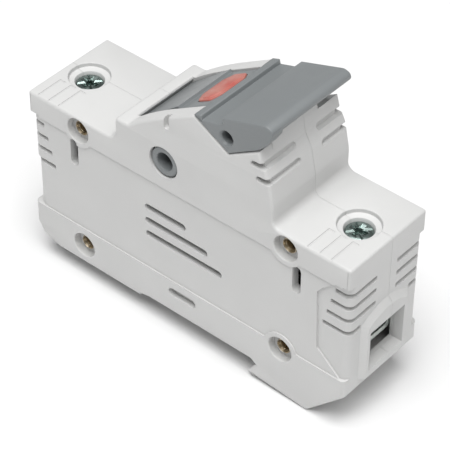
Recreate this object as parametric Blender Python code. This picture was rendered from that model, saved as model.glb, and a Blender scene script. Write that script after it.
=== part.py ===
"""One-pole fuse switch-disconnector for a 14 x 51 mm cartridge fuse, to snap on a 35 mm DIN rail.

All named sizes are in millimetres; the shape helpers turn them into metres. X runs along the body
towards one wire entry, Y across its width and Z away from the rail. The origin is on the rail seat,
at the middle of the body's length and width. The swing-out carrier turns about an axis along Y.
"""

import math

import bmesh
import bpy
from mathutils import Matrix, Vector

MM = 0.001

# Body
HALF_LENGTH = 47.5
HALF_WIDTH = 13.5
STEP_TOP = 43.25  # top of the low terminal ends
BLOCK_TOP = 49.65  # top of the block left of the carrier
OVERHANG = 37.6  # the body's corners are square above this height and round below it
SEAM = 36.8  # the side faces' sunk middle zone reaches from the ledge up to here
LEDGE = 9.8  # the foot starts below this height
ZONE_DEPTH = 0.35
PANEL_DEPTH = 0.8  # the grooved panel at the zone's right end is sunk further
CORNER = 1.8  # plan radius of the upright corners at the right end
LEFT_CORNER, RIBS_CORNER, RIBS_FROM = 4.2, 3.0, 23.2  # at the left end, below and along the grooves
FOOT_CORNER = 1.3
CEILING = STEP_TOP - 1.6
SIDE_INNER = HALF_WIDTH - 2.6  # half width of the inner space
CREST_INNER = HALF_WIDTH - 4.2  # the same between the walls beside the carrier
END_INNER = HALF_LENGTH - 2.2
FLOOR = 4.2
PARTING = 1.2  # where the two shells meet, off centre so that the rail seat's middle is whole
JOINT_GAP = 0.15  # each shell stands back this far from the parting plane
CLEAR = 0.3

# The notch in each side wall that the lever plate's ends fill
NOTCH = [(3.4, 62.5), (13.35, 56.9), (16.1, 58.65), (21.9, 62.2)]

# Carrier and its hinge
PIVOT = (-5.43, 44.38)
HUB_R = 3.9
HUB_HOLE_R = 4.2
HUB_BORE_R = 2.3
HUB_END = 13.1
RISER_GROOVE = 1.6  # width of the grooves under the lever
VENT = 1.9  # width of the slots below the carrier
POCKET_R = 12.05  # the left block is hollowed to this radius about the hinge
CARRIER_R = 11.6
CARRIER_HALF = 8.95
CHEEK_INNER = 7.6
LEVER_HALF = 13.4
LENS_AT = (-0.1, 59.95)
LENS_TILT = math.radians(30.5)

# Cartridge fuse, tilted in the body like the lever plate above it
FUSE_AT = (-4.7, 36.6)
TILT = math.radians(18.5)
FUSE_HALF = 25.5
FUSE_R = 7.15
CAP_LENGTH = 10.0
CAP_BORE_R = 6.8
CERAMIC_R = 6.5
CERAMIC_BORE_R = 4.6
BARREL_R = 8.9
BARREL_BORE_R = 7.45
BARREL_START, BARREL_END = -8.5, 9.5

# Terminals
SCREW_AT = {-1: -40.6, 1: 39.4}  # x of the screw at each end
SCREW_R = 2.5
SCREW_TIP = 21.5
HEAD_R = 3.15
HEAD_TOP, HEAD_BASE = 41.5, 38.1
BOSS_R, BOSS_BORE_R, BOSS_BASE = 5.4, 3.5, 36.2
COUNTERBORE_R = 5.05
COUNTERBORE_FLOOR = STEP_TOP - 1.1
BAR_BOTTOM, BAR_TOP, BAR_HALF, BAR_END = 19.6, 21.2, 4.9, 44.6
CAGE_REACH, CAGE_END = 4.4, 45.0  # inwards from the screw, and outwards from the middle
CAGE_HALF_Y, CAGE_BOTTOM, CAGE_TOP = 6.5, 12.2, 27.3
WINDOW_HALF, WINDOW_BOTTOM, WINDOW_TOP = 5.2, 13.5, 23.7
ENTRY_HALF, ENTRY_BOTTOM, ENTRY_TOP = 5.8, 9.6, 20.4
SURROUND_DEPTH = 1.2

# Jaws, in the fuse's own frame: along it and square to it
JAW_INNER, JAW_OUTER = 7.5, 8.7
JAW_START, JAW_END = 17.3, 25.5
JAW_REACH = 4.5
TAIL_X = (22.2, 23.4)
CLIP_INNER, CLIP_OUTER = 9.0, 9.7

# Rivets: x and z of each
RIVETS = {
    "rivet_upper_left": (-31.94, 39.38),
    "rivet_upper_right": (29.8, 39.38),
    "rivet_lower_left": (-31.55, 4.4),
    "rivet_lower_right": (29.1, 8.5),
}
RIVET_R = 1.5
RIVET_BORE_R = 1.2
RIVET_HEAD_R = 2.1
SINK_R, SINK = 3.3, 2.1

# Rail catch, a tee-section slide in the foot, with its spring in a window
CATCH_STEM, CATCH_RIB = 4.8, 6.1
CATCH_BOTTOM, CATCH_STEP, CATCH_TOP = -0.8, 0.5, 1.8
CATCH_TAB_END = -53.0
RIB_SPAN = (-40.7, -15.3)
RIB_SLOT = (-44.2, -15.0)
CATCH_WINDOW = (-38.5, -23.0)
CATCH_PEG = (-37.0, -35.2)
COIL_R, COIL_WIRE, COIL_TURNS = 1.0, 0.22, 7

ROUND = 32  # sides of a round hole or shaft


# ---- plain helpers -----------------------------------------------------------------------------


def clear_scene():
    for old in list(bpy.data.objects):
        bpy.data.objects.remove(old)
    for old in list(bpy.data.collections):
        bpy.data.collections.remove(old)


def new_collection(name):
    collection = bpy.data.collections.new(name)
    bpy.context.scene.collection.children.link(collection)
    return collection


def material(name, colour, roughness, metallic=0.0):
    made = bpy.data.materials.new(name)
    made.use_nodes = True
    shader = made.node_tree.nodes["Principled BSDF"]
    shader.inputs["Base Color"].default_value = (*colour, 1.0)
    shader.inputs["Roughness"].default_value = roughness
    shader.inputs["Metallic"].default_value = metallic
    return made


def arc(centre, radius, start, end, steps):
    """Points on a circle, between two angles in degrees."""
    points = []
    for step in range(steps + 1):
        angle = math.radians(start + (end - start) * step / steps)
        points.append((centre[0] + radius * math.cos(angle), centre[1] + radius * math.sin(angle)))
    return points


def rounded(corners, steps=5):
    """The outline through (u, v, radius) corners, with each corner that has a radius rounded."""
    outline = []
    for index, (u, v, radius) in enumerate(corners):
        here = Vector((u, v))
        if radius == 0:
            outline.append((u, v))
            continue
        back = (Vector(corners[index - 1][:2]) - here).normalized()
        ahead = (Vector(corners[(index + 1) % len(corners)][:2]) - here).normalized()
        half = back.angle(ahead) / 2
        centre = here + (back + ahead).normalized() * (radius / math.sin(half))
        first = here + back * (radius / math.tan(half)) - centre
        last = here + ahead * (radius / math.tan(half)) - centre
        turn = first.angle_signed(last)
        for step in range(steps + 1):
            point = centre + Matrix.Rotation(-turn * step / steps, 2) @ first
            outline.append((point.x, point.y))
    return outline


def stadium(start, end, width, steps=6):
    """A slot with round ends, between the centres of its two ends."""
    along = math.degrees(math.atan2(end[1] - start[1], end[0] - start[0]))
    far = arc(end, width / 2, along - 90, along + 90, steps)
    return far + arc(start, width / 2, along + 90, along + 270, steps)


def span(a, b):
    """Two coordinates in rising order."""
    return min(a, b), max(a, b)


def mirrored(outline, sign_u=1, sign_v=1):
    return [(sign_u * u, sign_v * v) for u, v in outline]


# ---- meshes from primitives and curves ---------------------------------------------------------

# A flat outline's own axes on the plane across each direction of extrusion
FRAMES = {
    "X": Matrix(((0, 0, 1), (1, 0, 0), (0, 1, 0))),
    "Y": Matrix(((1, 0, 0), (0, 0, -1), (0, 1, 0))),
    "Z": Matrix.Identity(3),
}


def frame_at(across, middle):
    place = Vector([middle * MM if axis == across else 0.0 for axis in "XYZ"])
    return Matrix.Translation(place) @ FRAMES[across].to_4x4()


def slab(outlines, across, start, end):
    """Flat outlines, the first one solid and any others holes, extruded from start to end."""
    curve = bpy.data.curves.new("outline", "CURVE")
    curve.dimensions = "2D"
    curve.fill_mode = "BOTH"
    curve.extrude = (end - start) / 2 * MM
    for outline in outlines:
        spline = curve.splines.new("POLY")
        spline.points.add(len(outline) - 1)
        for point, (u, v) in zip(spline.points, outline):
            point.co = (u * MM, v * MM, 0, 1)
        spline.use_cyclic_u = True
    guide = bpy.data.objects.new("outline", curve)
    bpy.context.scene.collection.objects.link(guide)
    graph = bpy.context.evaluated_depsgraph_get()
    mesh = bpy.data.meshes.new_from_object(guide.evaluated_get(graph))
    bpy.data.objects.remove(guide)
    bpy.data.curves.remove(curve)
    mesh.transform(frame_at(across, (start + end) / 2))
    return weld(mesh)


def weld(mesh):
    work = bmesh.new()
    work.from_mesh(mesh)
    bmesh.ops.remove_doubles(work, verts=work.verts, dist=1e-7)
    bmesh.ops.recalc_face_normals(work, faces=work.faces)
    work.to_mesh(mesh)
    work.free()
    return mesh


def box(low, high):
    size = [b - a for a, b in zip(low, high)]
    middle = [(a + b) / 2 for a, b in zip(low, high)]
    mesh = bpy.data.meshes.new("box")
    work = bmesh.new()
    bmesh.ops.create_cube(work, size=MM)
    bmesh.ops.scale(work, vec=size, verts=work.verts)
    bmesh.ops.translate(work, vec=Vector(middle) * MM, verts=work.verts)
    work.to_mesh(mesh)
    work.free()
    return mesh


def cone(radius, top_radius, axis, start, end, at, sides=ROUND):
    """A cylinder or cone along an axis; at is its centre in the other two coordinates."""
    mesh = bpy.data.meshes.new("cylinder")
    work = bmesh.new()
    bmesh.ops.create_cone(
        work,
        cap_ends=True,
        segments=sides,
        radius1=radius * MM,
        radius2=top_radius * MM,
        depth=(end - start) * MM,
    )
    work.to_mesh(mesh)
    work.free()
    # create_cone builds along Z with radius1 at the low end
    turn = {
        "X": Matrix.Rotation(math.pi / 2, 4, "Y"),
        "Y": Matrix.Rotation(-math.pi / 2, 4, "X"),
        "Z": Matrix.Identity(4),
    }[axis]
    middle = (start + end) / 2
    places = {"X": (middle, *at), "Y": (at[0], middle, at[1]), "Z": (*at, middle)}
    mesh.transform(Matrix.Translation(Vector(places[axis]) * MM) @ turn)
    return mesh


def rod(radius, axis, start, end, at, sides=ROUND):
    return cone(radius, radius, axis, start, end, at, sides)


def lofted(first, first_x, second, second_x):
    """A solid between two flat outlines of (y, z) points, each at its own x."""
    work = bmesh.new()
    rings = []
    for outline, x in ((first, first_x), (second, second_x)):
        rings.append([work.verts.new(Vector((x, y, z)) * MM) for y, z in outline])
    for index in range(len(first)):
        following = (index + 1) % len(first)
        work.faces.new((rings[0][index], rings[0][following], rings[1][following], rings[1][index]))
    work.faces.new(rings[0][::-1])
    work.faces.new(rings[1])
    bmesh.ops.recalc_face_normals(work, faces=work.faces)
    bmesh.ops.triangulate(work, faces=work.faces)
    mesh = bpy.data.meshes.new("loft")
    work.to_mesh(mesh)
    work.free()
    return mesh


def coil(radius, wire, turns, start, end, at):
    """A helical spring along X, at (y, z)."""
    curve = bpy.data.curves.new("coil", "CURVE")
    curve.dimensions = "3D"
    curve.bevel_depth = wire * MM
    curve.bevel_resolution = 2
    curve.use_fill_caps = True
    steps = turns * 10
    spline = curve.splines.new("POLY")
    spline.points.add(steps)
    for index, point in enumerate(spline.points):
        angle = 2 * math.pi * turns * index / steps
        x = start + (end - start) * index / steps
        y = at[0] + radius * math.cos(angle)
        z = at[1] + radius * math.sin(angle)
        point.co = (x * MM, y * MM, z * MM, 1)
    guide = bpy.data.objects.new("coil", curve)
    bpy.context.scene.collection.objects.link(guide)
    graph = bpy.context.evaluated_depsgraph_get()
    mesh = bpy.data.meshes.new_from_object(guide.evaluated_get(graph))
    bpy.data.objects.remove(guide)
    bpy.data.curves.remove(curve)
    return weld(mesh)


def placed(mesh, at, tilt):
    """Tips a mesh made about the origin up towards +X, and moves it to (x, z)."""
    turn = Matrix.Rotation(-tilt, 4, "Y")
    mesh.transform(Matrix.Translation(Vector((at[0], 0, at[1])) * MM) @ turn)
    return mesh


def in_fuse_frame(mesh):
    return placed(mesh, FUSE_AT, TILT)


# ---- objects -----------------------------------------------------------------------------------


def part(name, mesh, finish, joined=(), cut=()):
    """A named sub-part: a mesh with other meshes joined to it, and others cut from it."""
    made = bpy.data.objects.new(name, mesh)
    mesh.name = name
    PARTS.objects.link(made)
    made.data.materials.clear()
    made.data.materials.append(finish)
    combine(made, joined, "UNION")
    combine(made, cut, "DIFFERENCE")
    made.data.shade_smooth()
    made.data.set_sharp_from_angle(angle=math.radians(30))
    return made


def combine(made, meshes, operation, solver="EXACT"):
    """Joins or cuts a sub-part with each of the meshes, kept as hidden helpers."""
    for mesh in meshes:
        label = f"{made.name}_{operation.lower()}_{len(made.modifiers)}"
        helper = bpy.data.objects.new(label, mesh)
        helper.hide_render = True
        helper.display_type = "WIRE"
        CUTTERS.objects.link(helper)
        modifier = made.modifiers.new(label, "BOOLEAN")
        modifier.operation = operation
        modifier.object = helper
        modifier.solver = solver


def joint_empty(name, at):
    empty = bpy.data.objects.new(name, None)
    empty.location = Vector(at) * MM
    empty.empty_display_size = 5 * MM
    PARTS.objects.link(empty)
    bpy.context.view_layer.update()
    return empty


def hang(children, parent):
    """Parents objects to a joint's empty without moving them."""
    for child in children:
        child.parent = parent
        child.matrix_parent_inverse = parent.matrix_world.inverted()


# ---- housing -----------------------------------------------------------------------------------


def housing_outline():
    """The body from the side, counterclockwise from the rail seat's left end."""
    seat_left = [(-10.4, 0, 0), (-13.6, -0.5, 0), (-13.6, -1.07, 0)]
    foot_left = [(-39.9, -1.07, 2), (-45.2, 0.6, 2), (-47.4, 4.2, 2), (-HALF_LENGTH, LEDGE, 0)]
    left_end = [(-HALF_LENGTH, STEP_TOP, 0.5), (-20.05, STEP_TOP, 2.4), (-20.05, BLOCK_TOP, 1.0)]
    crest = [(-15.9, BLOCK_TOP), (-13.4, 51.7), (-10.7, 53.7), (-6.2, 56.7), (-1.8, 59.35)]
    crest = [(x, z, 0) for x, z in crest + NOTCH]
    front = [(22.8, 59.1, 3), (24.6, 55.6, 4), (25.95, 49.0, 6), (25.95, STEP_TOP, 1.7)]
    right_end = [(HALF_LENGTH, STEP_TOP, 0.5), (HALF_LENGTH, 5.0, 1)]
    hook = [(37.2, -5.7, 1), (19.4, -4.7, 0.6), (22.1, -1.05, 0), (20.6, 0, 0)]
    return rounded(seat_left + foot_left + left_end + crest + front + right_end + hook)


def rise_outline():
    """The wall right of the carrier stands higher between the side walls, up to the lever."""
    inner = [(24.7, 45.0), (24.4, 50.0), (22.8, 55.6), (21.3, 60.0), (20.5, 64.3)]
    outer = [(21.7, 64.3), (22.2, 62.0), (22.6, 59.0), (24.2, 55.4), (25.3, 50.0), (25.3, 45.0)]
    return inner + outer


RIGHT_SPACE = [(24.4, 26.0), (26.0, 26.0), (26.0, CEILING), (END_INNER, CEILING)]
RIGHT_SPACE += [(END_INNER, 6.2), (END_INNER - 0.6, 5.5), (26.0, 5.7), (24.0, FLOOR)]
LEFT_SPACE = [(-END_INNER + 1.2, FLOOR), (-END_INNER, 5.6), (-END_INNER, CEILING)]


def upper_space_outline():
    """The narrower space between the walls beside the carrier, open at the top."""
    pocket = arc(PIVOT, POCKET_R, 193, 155, 7)
    top = [(-16.7, BLOCK_TOP + 0.1), (-16.7, 70.0), (20.9, 70.0), (20.9, 60.0)]
    wall = [(22.4, 55.6), (24.0, 50.0), (24.4, 44.0), (24.0, 30.0)]
    return pocket + top + wall + [(-17.0, 30.0)]


def lower_space_outline():
    """The wider space below, which stops under the hinge and rises again beside the right jaw."""
    under_walls = [(-20.0, CEILING), (-14.0, 38.0), (3.0, 38.0), (8.0, 50.0), (22.0, 50.0)]
    return [(23.9, 44.0)] + RIGHT_SPACE + LEFT_SPACE + under_walls


def corner_cutter(side_x, side_y, radius, half_width, bottom, top):
    """What has to go to round one upright corner of the body."""
    centre = (HALF_LENGTH - radius, half_width - radius)
    outside = [(centre[0], HALF_WIDTH + 1), (HALF_LENGTH + 1, HALF_WIDTH + 1)]
    outside.append((HALF_LENGTH + 1, centre[1]))
    outline = arc(centre, radius, 0, 90, 6) + outside
    return slab([mirrored(outline, side_x, side_y)], "Z", bottom, top)


def zone_outline():
    """The side face between the foot's ledge and the seam, which bulge round three of the rivets."""
    end = HALF_LENGTH + 1
    low_bulge = arc(RIVETS["rivet_lower_right"], 4.7, 164, 16, 6)
    right_bulge = arc(RIVETS["rivet_upper_right"], 4.6, -34, -146, 6)
    left_bulge = arc(RIVETS["rivet_upper_left"], 4.6, -34, -146, 6)
    low_line = [(-end, LEDGE), *low_bulge, (end, LEDGE)]
    return low_line + [(end, SEAM), *right_bulge, *left_bulge, (-end, SEAM)]


def panel_face_outline():
    """The grooved panel at the right end of a side face."""
    end = HALF_LENGTH + 1
    rise = [(45.7, LEDGE), (42.6, 12.5), (39.2, 15.5), (38.6, 31.9), (40.15, 34.0), (42.0, 35.7)]
    return rise + [(43.8, OVERHANG - 0.3), (end, OVERHANG - 0.3), (end, LEDGE)]


def side_recess(side):
    """The middle zone of a side face is sunk a little, and the panel at its right end more."""
    outside = side * (HALF_WIDTH + 1)
    zone = slab([zone_outline()], "Y", *span(side * (HALF_WIDTH - ZONE_DEPTH), outside))
    panel = slab([panel_face_outline()], "Y", *span(side * (HALF_WIDTH - PANEL_DEPTH), outside))
    return [zone, panel]


def end_grooves(side_x, side_y):
    """Four shallow grooves that wrap round an upright corner."""
    depth, height = 1.3, 1.3
    sunk, bend = (PANEL_DEPTH, 1.0) if side_x > 0 else (ZONE_DEPTH, 2.0)
    inner_x, inner_y = HALF_LENGTH - depth, HALF_WIDTH - sunk - depth
    cutters = []
    places = ((34.9, 43.2, 3.6), (31.2, 42.1, 3.6), (27.5, 41.1, 3.6), (23.8, 40.1, 8.6))
    for z, side_end, face_end in places:
        inside = [(inner_x, face_end), *arc((inner_x - bend, inner_y - bend), bend, 0, 90, 4)]
        inside.append((side_end, inner_y))
        outside = [(side_end, HALF_WIDTH + 1), (HALF_LENGTH + 1, HALF_WIDTH + 1)]
        outside.append((HALF_LENGTH + 1, face_end))
        outline = mirrored(inside + outside, side_x, side_y)
        cutters.append(slab([outline], "Z", z - height / 2, z + height / 2))
    return cutters


def riser_grooves(side):
    """Two slanted grooves that wrap from each side wall to the front under the lever."""
    cutters = []
    for x, z in ((22.9, 58.45), (24.45, 54.9)):
        outline = stadium((x - 2.4, z - 0.2), (x + 3, z + 0.1), RISER_GROOVE)
        cutters.append(slab([outline], "Y", *span(side * (HALF_WIDTH - 1.5), side * (HALF_WIDTH + 1))))
        inner_end = 3.4 if side < 0 else 5.4
        front = stadium((side * inner_end, z), (side * (HALF_WIDTH + 2), z), RISER_GROOVE)
        cutters.append(slab([front], "X", x - 0.5, x + 4))
    return cutters


def vent_slots(side):
    """Slots through a side wall, three below the carrier and two upright, and a pocket in the foot."""
    slots = [((-10.7, 28.1), (-0.2, 28.1), VENT), ((-10.7, 24.1), (6.3, 24.1), VENT)]
    slots += [((-10.5, 20.1), (10.6, 20.1), VENT)]
    slots += [((-33.6, 34.9), (-33.6, 29.3), 2.4), ((32.9, 34.6), (32.9, 29.3), 2.4)]
    outside = side * (HALF_WIDTH + 1)
    through = [slab([stadium(*slot)], "Y", *span(side * (SIDE_INNER - 1), outside)) for slot in slots]
    pocket = stadium((-3.2, 6.3), (2.7, 6.3), 2.4)
    return [*through, slab([pocket], "Y", *span(side * (HALF_WIDTH - 1.5), outside))]


def finger_gap():
    """The far shell is lower under the lever's lip, to let a finger in."""
    return box((19.0, 6.0, 62.35), (26.5, HALF_WIDTH + 1, 66.0))


def label_grooves():
    """Fine lines across each step top that mark out three label strips."""
    cutters = []
    inner_end = 5.4
    for x in (-44.8, -41.5, -38.4, 35.3, 38.6, 41.8):
        line = [(x, -14.0), (x + 0.3, -14.0), (x + 0.3, -inner_end - 0.3)]
        tick = [(x + 1.7, -inner_end - 0.3), (x + 1.7, -inner_end), (x, -inner_end)]
        cutters.append(slab([line + tick], "Z", STEP_TOP - 0.18, STEP_TOP + 1))
    return cutters


def crest_notch():
    """Small round-ended notch in the near wall's crest."""
    outline = stadium((-4.35, 60.5), (-4.35, 55.2), 1.5)
    return slab([outline], "Y", -HALF_WIDTH - 1, -HALF_WIDTH + 1.4)


def surround_outline(half, shoulder, top):
    """The arch round a wire entry: upright sides up to the shoulders, then an arc over the top."""
    rise = top - shoulder
    radius = (half**2 + rise**2) / (2 * rise)
    reach = math.degrees(math.asin(half / radius))
    over = arc((0, top - radius), radius, 90 - reach, 90 + reach, 10)
    return [(-half, LEDGE - 2.6), (half, LEDGE - 2.6), *over]


def entry_surround(side_x):
    """Raised arch round a wire entry, with wide bevels at its sides and over its top."""
    root, front = side_x * (HALF_LENGTH - 0.6), side_x * (HALF_LENGTH + SURROUND_DEPTH)
    return lofted(surround_outline(9.25, 23.8, 27.15), root, surround_outline(7.0, 22.3, 24.6), front)


def wire_entry(side_x):
    """The square channel through an end wall, and its flared mouth."""
    start, end = side_x * (END_INNER + 1.2), side_x * (HALF_LENGTH + SURROUND_DEPTH + 1)
    reach = span(side_x * (END_INNER - 1), end)
    channel = box((reach[0], -ENTRY_HALF, ENTRY_BOTTOM), (reach[1], ENTRY_HALF, ENTRY_TOP))
    rings = []
    for grow in (0.02, 0.5):
        half, low, high = ENTRY_HALF + grow, ENTRY_BOTTOM - grow, ENTRY_TOP + grow * 0.8
        rings.append([(-half, low), (half, low), (half, high), (-half, high)])
    return [channel, lofted(rings[0], start, rings[1], end)]


def screw_seat(side_x):
    """The stepped hole from a step top down to the terminal screw."""
    at = (SCREW_AT[side_x], 0)
    through = rod(SCREW_R + CLEAR, "Z", BOSS_BASE - 1, HEAD_BASE, at)
    bore = rod(BOSS_BORE_R, "Z", HEAD_BASE - CLEAR, STEP_TOP + 1, at)
    counterbore = rod(COUNTERBORE_R, "Z", COUNTERBORE_FLOOR, STEP_TOP + 1, at)
    return [through, bore, counterbore]


def rivet_posts(near, far):
    """Tubes across the inner space for the rivets that have room round them."""
    names = ("rivet_upper_right", "rivet_lower_left", "rivet_lower_right")
    return [rod(RIVET_R + 1.2, "Y", near, far, RIVETS[name], 20) for name in names]


def rivet_pad(side):
    """Local thickening of the wall behind the fourth rivet, which has a jaw beside it."""
    reach = span(side * 10.1, side * (HALF_WIDTH - SINK + 0.5))
    return rod(RIVET_R + 1.2, "Y", *reach, RIVETS["rivet_upper_left"], 20)


def rivet_holes(side):
    cutters = []
    sink = span(side * (HALF_WIDTH - SINK), side * (HALF_WIDTH + 1))
    for at in RIVETS.values():
        cutters.append(rod(RIVET_R + CLEAR, "Y", -HALF_WIDTH, HALF_WIDTH, at, 20))
        cutters.append(rod(SINK_R, "Y", *sink, at))
    return cutters


def catch_slot():
    """Tee slot in the foot for the rail catch."""
    stem_half, rib_half = CATCH_STEM + CLEAR, CATCH_RIB + CLEAR
    stem = box((-60, -stem_half, -8), (-13.0, stem_half, CATCH_STEP + CLEAR))
    rib_low = (RIB_SLOT[0], -rib_half, CATCH_STEP - CLEAR)
    rib = box(rib_low, (RIB_SLOT[1], rib_half, CATCH_TOP + CLEAR))
    stem_top = box((-60, -stem_half, 0), (-13.0, stem_half, CATCH_TOP + CLEAR))
    return [stem, rib, stem_top]


def catch_peg():
    """Stop for the catch's spring."""
    return box((CATCH_PEG[0], -1.2, -0.6), (CATCH_PEG[1], PARTING - 0.4, 3.0))


def housing(name, side, plastic):
    """One shell: the outline, hollowed, with bosses added, then its holes and grooves."""
    inner, face = PARTING + side * JOINT_GAP, side * HALF_WIDTH
    margin, beyond = inner - side, inner - side * 2
    shell = part(name, slab([housing_outline()], "Y", *span(margin, face)), plastic)
    upper = slab([upper_space_outline()], "Y", *span(beyond, side * CREST_INNER))
    lower = slab([lower_space_outline()], "Y", *span(beyond, side * SIDE_INNER))
    rise = slab([rise_outline()], "Y", *span(beyond, side * (CREST_INNER + 0.1)))
    corners = []
    grooves = riser_grooves(side) + vent_slots(side)
    seats = []
    corners.append(corner_cutter(1, side, CORNER, HALF_WIDTH - PANEL_DEPTH, LEDGE, OVERHANG))
    corners.append(corner_cutter(-1, side, LEFT_CORNER, HALF_WIDTH - ZONE_DEPTH, LEDGE, RIBS_FROM))
    corners.append(corner_cutter(-1, side, RIBS_CORNER, HALF_WIDTH - ZONE_DEPTH, RIBS_FROM, OVERHANG))
    for side_x in (-1, 1):
        corners.append(corner_cutter(side_x, side, FOOT_CORNER, HALF_WIDTH, -8, LEDGE))
        grooves += end_grooves(side_x, side)
        seats += screw_seat(side_x) + wire_entry(side_x)
    grooves += [*label_grooves(), crest_notch()] if side < 0 else [finger_gap()]
    boss_span = (BOSS_BASE, STEP_TOP - 0.2)
    added = [rod(BOSS_R, "Z", *boss_span, (x, 0)) for x in SCREW_AT.values()]
    added += [entry_surround(-1), entry_surround(1)]
    added += [*rivet_posts(*span(beyond, side * (HALF_WIDTH - 2.5))), rivet_pad(side)]
    hub_hole = rod(HUB_HOLE_R, "Y", -HALF_WIDTH - 1, HALF_WIDTH + 1, PIVOT)
    other_half = box((-60, min(inner, -side * 30), -20), (60, max(inner, -side * 30), 90))
    # The exact solver leaves open edges after this many cuts, and the manifold one doesn't
    for meshes, operation in (
        ([upper, lower], "DIFFERENCE"),
        ([rise], "UNION"),
        (corners + side_recess(side), "DIFFERENCE"),
        (added, "UNION"),
        (seats + grooves + rivet_holes(side) + catch_slot(), "DIFFERENCE"),
        ([hub_hole, other_half], "DIFFERENCE"),
        ([catch_peg()] if side < 0 else [], "UNION"),
    ):
        combine(shell, meshes, operation, "MANIFOLD")
    return shell


# ---- rivets ------------------------------------------------------------------------------------


def rivet(name, at, brass):
    """Tubular rivet with a flared head at each end."""
    seat = HALF_WIDTH - SINK + 0.15
    shank = rod(RIVET_R, "Y", -seat - 0.3, seat + 0.3, at, 20)
    far_head = cone(RIVET_HEAD_R, RIVET_R + 0.3, "Y", seat, seat + 0.7, at, 24)
    near_head = cone(RIVET_R + 0.3, RIVET_HEAD_R, "Y", -seat - 0.7, -seat, at, 24)
    bore = rod(RIVET_BORE_R, "Y", -HALF_WIDTH, HALF_WIDTH, at, 16)
    return part(name, shank, brass, joined=[far_head, near_head], cut=[bore])


# ---- carrier -----------------------------------------------------------------------------------


def panel_outline():
    """The carrier's curved front wall and its top panel, up to the lever."""
    front = arc(PIVOT, CARRIER_R, 195, 159, 6)
    top = [(-4.9, 57.95), (-4.5, 57.35), (3.3, 61.95), (8.0, 61.9)]
    below = [(8.0, 60.0), (3.0, 58.9), (-4.2, 54.9), (-13.6, 47.5)]
    return front + top + below + arc(PIVOT, CARRIER_R - 1.8, 162, 195, 6)


def lever_outline():
    """Ridge, channel, label plate and rounded lip, over the body's full width."""
    ridge = [(3.75, 62.8, 0), (5.6, 63.5, 0.3), (5.85, 62.3, 0), (11.75, 64.2, 0)]
    plate = [(11.5, 65.75, 0.2), (23.4, 69.8, 2.0), (26.2, 68.9, 1.2), (24.0, 66.4, 0.5)]
    below = [(22.6, 65.1, 0), (13.3, 62.7, 0), (7.5, 61.0, 0)]
    return rounded(ridge + plate + below)


def lever_end_outline(side):
    """The plate that fills the side wall's notch; the far one is short, to let a finger in."""
    low = [(3.6, 62.7), (13.47, 57.2), (15.95, 58.85)]
    inside = [(20.0, 67.4), (12.6, 64.6), (6.5, 61.9)]
    if side < 0:
        return low + [(21.65, 62.45), (23.4, 64.2), (25.0, 66.8), (25.3, 68.6)] + inside
    return low + [(18.2, 60.3), (19.6, 63.5), (20.4, 66.2)] + inside


def cheek_outline():
    front = arc(PIVOT, CARRIER_R - 0.3, 160, 200, 6)
    below = [(-11.5, 30.1), (5.6, 35.8), (5.6, 45.3), (15.5, 64.0)]
    return front + below + [(7.0, 61.0), (3.0, 60.3), (-4.5, 56.3)]


def lens_outline(grow=0.0):
    """Long oval across the panel, in its own plane: along the slope, and across the body."""
    half, tip, near_tip, far_tip = 3.5 + grow, 1.9 + grow, -5.8 - grow, 6.9 + grow
    left = [(-half, 4.2, 1), (-half, -2.6, 1), (-tip, near_tip, 1)]
    right = [(tip, near_tip, 1), (half, -2.6, 1), (half, 4.2, 1)]
    return rounded(left + right + [(tip, far_tip, 1), (-tip, far_tip, 1)], 3)


def on_panel(mesh):
    return placed(mesh, LENS_AT, LENS_TILT)


def carrier(plastic):
    half = CARRIER_HALF
    pieces = [slab([lever_outline()], "Y", 0.1 - LEVER_HALF, LEVER_HALF - 0.1)]
    holes = [in_fuse_frame(rod(BARREL_BORE_R, "X", -30, 20, (0, 0), 40))]
    barrel = rod(BARREL_R, "X", BARREL_START, BARREL_END, (0, 0), 40)
    pieces.append(in_fuse_frame(barrel))
    for side in (-1, 1):
        end_plate = span(side * (CREST_INNER + 0.35), side * LEVER_HALF)
        pieces.append(slab([lever_end_outline(side)], "Y", *end_plate))
        cheek = span(side * CHEEK_INNER, side * (half - 0.1))
        pieces.append(slab([cheek_outline()], "Y", *cheek))
        pieces.append(rod(HUB_R, "Y", *span(side * (half - 0.8), side * HUB_END), PIVOT))
        pieces.append(on_panel(board_ledge(side)))
        bore = span(side * (CHEEK_INNER - 0.5), side * (HUB_END + 1))
        holes.append(rod(HUB_BORE_R, "Y", *bore, PIVOT, 24))
        seal = span(side * (CREST_INNER - 1), side * (LEVER_HALF + 1))
        holes.append(rod(1.6, "Y", *seal, (12.8, 61.0), 20))
    holes.append(on_panel(slab([lens_outline(CLEAR)], "Z", -4.5, 2.0)))
    panel = slab([panel_outline()], "Y", -half, half)
    return part("fuse_carrier", panel, plastic, joined=pieces, cut=holes)


def board_ledge(side):
    """Rib on a cheek that the lamp's board lies on."""
    low, high = span(side * 6.2, side * (CHEEK_INNER + 0.5))
    return box((-5.0, low, -8.2), (4.0, high, -7.2))


def indicator(lens_red, board_green, lamp_glass):
    """Lens in the panel, and the lamp and its board below it."""
    crown = slab([lens_outline(-0.8)], "Z", 0.2, 0.55)
    lens = part("indicator_lens", on_panel(slab([lens_outline()], "Z", -2.4, 0.3)), lens_red)
    combine(lens, [on_panel(crown)], "UNION")
    board = part("indicator_board", on_panel(box((-5.0, -7.3, -6.9), (4.0, 7.3, -5.7))), board_green)
    lamp = part("indicator_lamp", on_panel(rod(1.5, "Z", -5.4, -3.0, (0, 0.8), 20)), lamp_glass)
    return [lens, board, lamp]


# ---- cartridge fuse ----------------------------------------------------------------------------


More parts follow.
